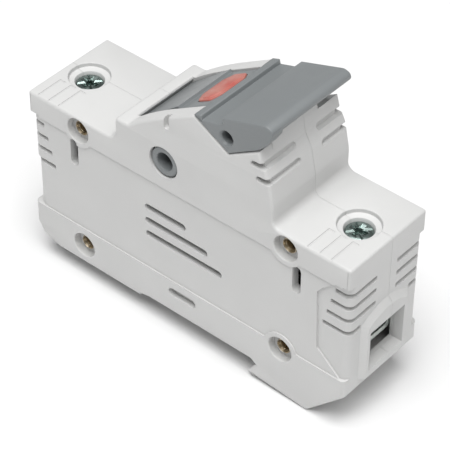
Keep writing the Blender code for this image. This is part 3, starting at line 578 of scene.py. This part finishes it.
def lofted(first, first_x, second, second_x):
    """A solid between two flat outlines of (y, z) points, each at its own x."""
    work = bmesh.new()
    rings = []
    for outline, x in ((first, first_x), (second, second_x)):
        rings.append([work.verts.new(Vector((x, y, z)) * MM) for y, z in outline])
    for index in range(len(first)):
        following = (index + 1) % len(first)
        work.faces.new((rings[0][index], rings[0][following], rings[1][following], rings[1][index]))
    work.faces.new(rings[0][::-1])
    work.faces.new(rings[1])
    bmesh.ops.recalc_face_normals(work, faces=work.faces)
    bmesh.ops.triangulate(work, faces=work.faces)
    mesh = bpy.data.meshes.new("loft")
    work.to_mesh(mesh)
    work.free()
    return mesh


def surround_outline(half, shoulder, top):
    """The arch round a wire entry: upright sides up to the shoulders, then an arc over the top."""
    rise = top - shoulder
    radius = (half**2 + rise**2) / (2 * rise)
    reach = math.degrees(math.asin(half / radius))
    over = arc((0, top - radius), radius, 90 - reach, 90 + reach, 24)
    return [(-half, LEDGE - 2.6), (half, LEDGE - 2.6), *over]


def entry_surround(side_x):
    """Raised arch round a wire entry, with wide bevels at its sides and over its top."""
    root, front = side_x * (HALF_LENGTH - 0.6), side_x * (HALF_LENGTH + SURROUND_DEPTH)
    return lofted(surround_outline(9.25, 23.8, 27.15), root, surround_outline(7.0, 22.3, 24.6), front)


def wire_entry(side_x):
    """The square channel through an end wall, and its flared mouth."""
    start, end = side_x * (END_INNER + 1.2), side_x * (HALF_LENGTH + SURROUND_DEPTH + 1)
    reach = span(side_x * (END_INNER - 1), end)
    channel = box((reach[0], -ENTRY_HALF, ENTRY_BOTTOM), (reach[1], ENTRY_HALF, ENTRY_TOP))
    rings = []
    for grow in (0.02, 0.5):
        half, low, high = ENTRY_HALF + grow, ENTRY_BOTTOM - grow, ENTRY_TOP + grow * 0.8
        rings.append([(-half, low), (half, low), (half, high), (-half, high)])
    return [channel, lofted(rings[0], start, rings[1], end)]


def screw_seat(side_x):
    """The stepped hole from a step top down to the terminal screw, with a soft mouth."""
    at = (SCREW_AT[side_x], 0)
    profile = [(SCREW_R + CLEAR, BOSS_BASE - 1), (SCREW_R + CLEAR, HEAD_BASE - CLEAR)]
    profile += [(BOSS_BORE_R, HEAD_BASE - CLEAR), (BOSS_BORE_R, COUNTERBORE_FLOOR - 0.6)]
    profile += [(BOSS_BORE_R + 0.12, COUNTERBORE_FLOOR - 0.35)]
    profile += [(COUNTERBORE_R - 0.1, COUNTERBORE_FLOOR), (COUNTERBORE_R, STEP_TOP - 0.15)]
    profile += [(COUNTERBORE_R + 0.15, STEP_TOP), (COUNTERBORE_R + 0.15, STEP_TOP + 1)]
    return turned(profile, "Z", at)


def rivet_posts(near, far):
    """Tubes across the inner space for the rivets that have room round them."""
    names = ("rivet_upper_right", "rivet_lower_left", "rivet_lower_right")
    return [rod(RIVET_R + 1.2, "Y", near, far, RIVETS[name], 20) for name in names]


def rivet_pad(side):
    """Local thickening of the wall behind the fourth rivet, which has a jaw beside it."""
    reach = span(side * 10.1, side * (HALF_WIDTH - SINK + 0.5))
    return rod(RIVET_R + 1.2, "Y", *reach, RIVETS["rivet_upper_left"], 20)


def rivet_holes(side):
    cutters = []
    for at in RIVETS.values():
        cutters.append(rod(RIVET_R + 0.1, "Y", -HALF_WIDTH, HALF_WIDTH, at, 24))
        profile = [(SINK_R, side * (HALF_WIDTH - SINK)), (SINK_R, side * (HALF_WIDTH - 0.2))]
        profile += [(SINK_R + 0.2, side * HALF_WIDTH), (SINK_R + 0.2, side * (HALF_WIDTH + 1))]
        cutters.append(turned(profile, "Y", at))
    return cutters


def catch_slot():
    """Tee slot in the foot for the rail catch."""
    stem_half, rib_half = CATCH_STEM + CLEAR, CATCH_RIB + CLEAR
    stem = box((-60, -stem_half, -8), (-13.0, stem_half, CATCH_STEP + CLEAR))
    rib_low = (RIB_SLOT[0], -rib_half, CATCH_STEP - CLEAR)
    rib = box(rib_low, (RIB_SLOT[1], rib_half, CATCH_TOP + CLEAR))
    stem_top = box((-60, -stem_half, 0), (-13.0, stem_half, CATCH_TOP + CLEAR))
    return [stem, rib, stem_top]


def catch_peg():
    """Stop for the catch's spring."""
    return box((CATCH_PEG[0], -1.2, -0.6), (CATCH_PEG[1], PARTING - 0.4, 3.0))


def shell_mesh(side):
    """One shell: the outline with a round rim, hollowed, with its bosses, holes and grooves."""
    inner, face = PARTING + side * JOINT_GAP, side * HALF_WIDTH
    beyond = inner - side * 2
    base = slab([housing_outline()], "Y", *span(beyond, face), RIM)
    upper = slab([upper_space_outline()], "Y", *span(beyond - side, side * CREST_INNER))
    lower = slab([lower_space_outline()], "Y", *span(beyond - side, side * SIDE_INNER))
    rise = slab([rise_outline()], "Y", *span(beyond, side * (CREST_INNER + 0.1)))
    corners = []
    grooves = riser_grooves(side) + vent_slots(side)
    seats = []
    corners.append(corner_cutter(1, side, CORNER, HALF_WIDTH - PANEL_DEPTH, LEDGE, OVERHANG))
    corners.append(corner_cutter(-1, side, LEFT_CORNER, HALF_WIDTH - ZONE_DEPTH, LEDGE, RIBS_FROM))
    corners.append(corner_cutter(-1, side, RIBS_CORNER, HALF_WIDTH - ZONE_DEPTH, RIBS_FROM, OVERHANG))
    for side_x in (-1, 1):
        corners.append(corner_cutter(side_x, side, FOOT_CORNER, HALF_WIDTH, -8, LEDGE))
        grooves += end_grooves(side_x, side)
        seats += [screw_seat(side_x), *wire_entry(side_x)]
    boss_span = (BOSS_BASE, STEP_TOP - 0.2)
    added = [rod(BOSS_R, "Z", *boss_span, (x, 0)) for x in SCREW_AT.values()]
    added += [entry_surround(-1), entry_surround(1)]
    added += [*rivet_posts(*span(beyond, side * (HALF_WIDTH - 2.5))), rivet_pad(side)]
    hub_profile = [(HUB_HOLE_R, -HALF_WIDTH - 1), (HUB_HOLE_R, HALF_WIDTH + 1)]
    other_half = box((-60, min(inner, -side * 30), -20), (60, max(inner, -side * 30), 90))
    last = [turned(hub_profile, "Y", PIVOT), other_half]
    grooves += [*label_grooves(), crest_notch()] if side < 0 else [finger_gap()]
    steps = [
        ("DIFFERENCE", [upper, lower]),
        ("UNION", [rise]),
        ("DIFFERENCE", corners + side_recess(side)),
        ("UNION", added),
        ("DIFFERENCE", seats + grooves + rivet_holes(side) + catch_slot() + last),
        ("UNION", [catch_peg()] if side < 0 else []),
    ]
    return carve(base, steps)


def housing():
    for side, node in ((-1, "housing_near"), (1, "housing_far")):
        piece(f"shell_{node[8:]}", shell_mesh(side), "housing", LIGHT_GREY, [node])


# ---- rivets ------------------------------------------------------------------------------------


def rivets():
    """Tubular rivets with rolled heads."""
    seat = HALF_WIDTH - SINK + 0.05
    for name, at in RIVETS.items():
        outside = [(RIVET_R, 0.0), (RIVET_R, seat), (1.8, seat + 0.05), (RIVET_HEAD_R, seat + 0.3)]
        outside += [(1.9, seat + 0.55), (1.75, seat + 0.65)]
        inside = [(RIVET_BORE_R, 0.0), (1.38, seat - 0.3), (1.58, seat + 0.2), (1.68, seat + 0.5)]
        inside += [(1.75, seat + 0.66)]
        outer = [(r, -y) for r, y in outside[::-1]] + outside
        inner = [(r, -y) for r, y in inside[::-1]] + inside
        tube = carve(turned(outer, "Y", at, 36), [("DIFFERENCE", [turned(inner, "Y", at, 36)])])
        piece(f"{name}_tube", tube, "housing", BRASS, [name])


# ---- carrier -----------------------------------------------------------------------------------


def panel_outline():
    """The carrier's curved front wall and its top panel, up to the lever."""
    front = arc(PIVOT, CARRIER_R, 195, 159, 12)
    top = [(-4.9, 57.95), (-4.5, 57.35), (3.3, 61.95), (8.0, 61.9)]
    below = [(8.0, 60.0), (3.0, 58.9), (-4.2, 54.9), (-13.6, 47.5)]
    return front + top + below + arc(PIVOT, CARRIER_R - 1.8, 162, 195, 12)


def lever_outline():
    """Ridge, channel, label plate and rounded lip, over the body's full width."""
    ridge = [(3.75, 62.8, 0), (5.6, 63.5, 0.3), (5.85, 62.3, 0), (11.75, 64.2, 0)]
    plate = [(11.5, 65.75, 0.3), (23.4, 69.8, 2.0), (26.2, 68.9, 1.2), (24.0, 66.4, 0.5)]
    below = [(22.6, 65.1, 0), (13.3, 62.7, 0), (7.5, 61.0, 0)]
    return rounded(ridge + plate + below)


def lever_end_outline(side):
    """The plate that fills the side wall's notch; the far one is short, to let a finger in."""
    low = [(3.6, 62.7), (13.47, 57.2), (15.95, 58.85)]
    inside = [(20.0, 67.4), (12.6, 64.6), (6.5, 61.9)]
    if side < 0:
        return low + [(21.65, 62.45), (23.4, 64.2), (25.0, 66.8), (25.3, 68.6)] + inside
    return low + [(18.2, 60.3), (19.6, 63.5), (20.4, 66.2)] + inside


def cheek_outline():
    front = arc(PIVOT, CARRIER_R - 0.3, 160, 200, 12)
    below = [(-11.5, 30.1), (5.6, 35.8), (5.6, 45.3), (15.5, 64.0)]
    return front + below + [(7.0, 61.0), (3.0, 60.3), (-4.5, 56.3)]


def lens_outline(grow=0.0):
    """Long oval across the panel, in its own plane: along the slope, and across the body."""
    half, tip, near_tip, far_tip = 3.5 + grow, 1.9 + grow, -5.8 - grow, 6.9 + grow
    left = [(-half, 4.2, 1), (-half, -2.6, 1), (-tip, near_tip, 1)]
    right = [(tip, near_tip, 1), (half, -2.6, 1), (half, 4.2, 1)]
    return rounded(left + right + [(tip, far_tip, 1), (-tip, far_tip, 1)], 4)


def on_panel(mesh):
    return placed(mesh, LENS_AT, LENS_TILT)


def in_fuse_frame(mesh):
    return placed(mesh, FUSE_AT, TILT)


def board_ledge(side):
    """Rib on a cheek that the lamp's board lies on."""
    low, high = span(side * 6.2, side * (CHEEK_INNER + 0.5))
    return box((-5.0, low, -8.2), (4.0, high, -7.2))


def carrier():
    half = CARRIER_HALF
    pieces = [slab([lever_outline()], "Y", 0.02 - LEVER_HALF, LEVER_HALF - 0.02, 0.25)]
    holes = [in_fuse_frame(rod(BARREL_BORE_R, "X", -30, 20, (0, 0)))]
    pieces.append(in_fuse_frame(rod(BARREL_R, "X", BARREL_START, BARREL_END, (0, 0))))
    for side in (-1, 1):
        end_plate = span(side * (CREST_INNER + 0.35), side * LEVER_HALF)
        pieces.append(slab([lever_end_outline(side)], "Y", *end_plate, 0.15))
        cheek = span(side * CHEEK_INNER, side * (half - 0.1))
        pieces.append(slab([cheek_outline()], "Y", *cheek))
        hub = [(HUB_R, side * (half - 0.8)), (HUB_R, side * (HUB_END - 0.25))]
        hub += [(HUB_R - 0.25, side * HUB_END)]
        pieces.append(turned(hub, "Y", PIVOT))
        pieces.append(on_panel(board_ledge(side)))
        bore = [(HUB_BORE_R, side * (CHEEK_INNER - 0.5)), (HUB_BORE_R, side * (HUB_END - 0.2))]
        bore += [(HUB_BORE_R + 0.2, side * HUB_END), (HUB_BORE_R + 0.2, side * (HUB_END + 1))]
        holes.append(turned(bore, "Y", PIVOT))
        seal = [(1.6, side * (CREST_INNER - 1)), (1.6, side * (LEVER_HALF - 0.5))]
        seal += [(2.0, side * LEVER_HALF), (2.0, side * (LEVER_HALF + 1))]
        holes.append(turned(seal, "Y", (12.8, 61.0)))
    holes.append(on_panel(slab([lens_outline(0.15)], "Z", -4.5, 2.0)))
    mesh = carve(slab([panel_outline()], "Y", -half, half), [("UNION", pieces), ("DIFFERENCE", holes)])
    piece("carrier_moulding", mesh, "carrier", DARK_GREY, ["fuse_carrier"])


def lens():
    """Faceted lens with a shallow crown."""
    base = slab([lens_outline()], "Z", -2.4, 0.3, 0.12)
    crown = slab([lens_outline(-0.8)], "Z", 0.0, 0.5, 0.2)
    mesh = on_panel(carve(base, [("UNION", [crown])]))
    piece("lens_crown", mesh, "carrier", LENS_RED, ["indicator_lens"])


# ---- terminal screws ---------------------------------------------------------------------------


def screw(side, name):
    """Pan-head screw with a cross recess that deepens to its middle, and four ticks between its arms."""
    at = (SCREW_AT[side], 0)
    profile = [(SCREW_R, SCREW_TIP), (SCREW_R, HEAD_BASE), (HEAD_R - 0.2, HEAD_BASE)]
    profile += [(HEAD_R, HEAD_BASE + 0.2), (HEAD_R, HEAD_TOP - 0.7), (HEAD_R - 0.15, HEAD_TOP - 0.35)]
    profile += [(HEAD_R - 0.6, HEAD_TOP - 0.12), (1.2, HEAD_TOP), (0.3, HEAD_TOP)]
    cuts = []
    for quarter in range(4):
        arm = box((-0.8, -0.6, 0.0), (3.0, 0.6, 4.0))
        arm.transform(Matrix.Rotation(math.radians(-28), 4, "Y"))
        arm.transform(Matrix.Translation(Vector((0, 0, -1.3)) * MM))
        tick = box((0.9, -0.3, -0.3), (3.0, 0.3, 0.3))
        tick.transform(Matrix.Rotation(math.radians(45), 4, "X"))
        for mesh, turn in ((arm, quarter * 90 + 5), (tick, quarter * 90 + 50)):
            mesh.transform(Matrix.Rotation(math.radians(turn), 4, "Z"))
            mesh.transform(Matrix.Translation(Vector((at[0], 0, HEAD_TOP)) * MM))
            cuts.append(mesh)
    mesh = carve(turned(profile, "Z", at), [("DIFFERENCE", cuts)])
    piece(f"{name}_head", mesh, name.replace("terminal_", ""), SCREW_ZINC, [name])


# ---- catch spring ------------------------------------------------------------------------------


def spring():
    """Coil between the foot's peg and the rail catch."""
    start, end = CATCH_PEG[1] + CLEAR, SPRING_SEAT - CLEAR
    steps = COIL_TURNS * 20
    curve = bpy.data.curves.new("coil", "CURVE")
    curve.dimensions = "3D"
    curve.bevel_depth = COIL_WIRE * MM
    curve.bevel_resolution = 3
    curve.use_fill_caps = True
    line = curve.splines.new("POLY")
    line.points.add(steps)
    for index, point in enumerate(line.points):
        angle = 2 * math.pi * COIL_TURNS * index / steps
        x = start + COIL_WIRE + (end - start - 2 * COIL_WIRE) * index / steps
        y = COIL_AT[0] + COIL_R * math.cos(angle)
        z = COIL_AT[1] + COIL_R * math.sin(angle)
        point.co = (x * MM, y * MM, z * MM, 1)
    guide = bpy.data.objects.new("coil", curve)
    bpy.context.scene.collection.objects.link(guide)
    mesh = weld(evaluated_mesh(guide))
    bpy.data.objects.remove(guide)
    bpy.data.curves.remove(curve)
    made = piece("catch_coil", mesh, "housing", STEEL, ["catch_spring"], 60)
    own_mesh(made)


# ---- finish of the CAD nodes that keep their shape -----------------------------------------------


def dress_nodes():
    finishes = {
        "contact_left": SILVER, "contact_right": SILVER, "jaw_spring_left": STEEL,
        "jaw_spring_right": STEEL, "clamp_cage_left": ZINC, "clamp_cage_right": ZINC,
        "fuse_tube": CERAMIC, "fuse_cap_left": SILVER, "fuse_cap_right": SILVER,
        "fuse_element": SILVER, "indicator_board": BOARD, "indicator_lamp": GLASS,
        "rail_catch": DARK_GREY,
    }
    for name, finish in finishes.items():
        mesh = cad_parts[name].data
        mesh.materials.clear()
        mesh.materials.append(finish)


# ---- stage, light and camera -------------------------------------------------------------------


def stage():
    mesh = box((-2000, -2000, -8.7), (2000, 2000, -5.75))
    floor = bpy.data.objects.new("floor", mesh)
    bpy.context.scene.collection.objects.link(floor)
    pale = Finish("pale_floor", (0.80, 0.80, 0.80), 0.9)
    mesh.materials.append(pale.material)


def area_light(name, at, target, size, power):
    light = bpy.data.lights.new(name, "AREA")
    light.shape = "RECTANGLE"
    light.size, light.size_y = size
    light.energy = power
    made = bpy.data.objects.new(name, light)
    bpy.context.scene.collection.objects.link(made)
    made.location = at
    made.rotation_euler = (Vector(target) - Vector(at)).to_track_quat("-Z", "Y").to_euler()
    return made


def lights():
    world = bpy.data.worlds.new("studio")
    world.use_nodes = True
    world.node_tree.nodes["Background"].inputs["Color"].default_value = (1.0, 1.0, 1.0, 1.0)
    world.node_tree.nodes["Background"].inputs["Strength"].default_value = 0.2
    bpy.context.scene.world = world
    middle = (0.0, 0.0, 0.03)
    area_light("top_softbox", (0.25, -0.6, 2.85), middle, (2.2, 2.2), 110)
    area_light("side_softbox", (1.9, -0.4, 2.2), middle, (1.4, 1.4), 9)


def camera():
    azimuth, elevation, roll = math.radians(40.23), math.radians(41.40), math.radians(0.49)
    back = Vector((math.sin(azimuth) * math.cos(elevation), -math.cos(azimuth) * math.cos(elevation),
                   math.sin(elevation)))
    right = Vector((0, 0, 1)).cross(back).normalized()
    up = back.cross(right)
    turned_right = right * math.cos(roll) + up * math.sin(roll)
    turned_up = up * math.cos(roll) - right * math.sin(roll)
    lens = bpy.data.cameras.new("camera")
    lens.sensor_width = 36
    lens.lens = 36 * 2135 / 450
    lens.clip_end = 10
    made = bpy.data.objects.new("camera", lens)
    bpy.context.scene.collection.objects.link(made)
    axes = Matrix((turned_right, turned_up, back)).transposed()
    made.matrix_world = Matrix.Translation((0.24074, -0.28304, 0.34774)) @ axes.to_4x4()
    bpy.context.scene.camera = made


bpy.context.scene.view_settings.view_transform = "Standard"
housing()
rivets()
carrier()
lens()
for side, name in ((-1, "terminal_screw_left"), (1, "terminal_screw_right")):
    screw(side, name)
spring()
dress_nodes()
stage()
lights()
camera()
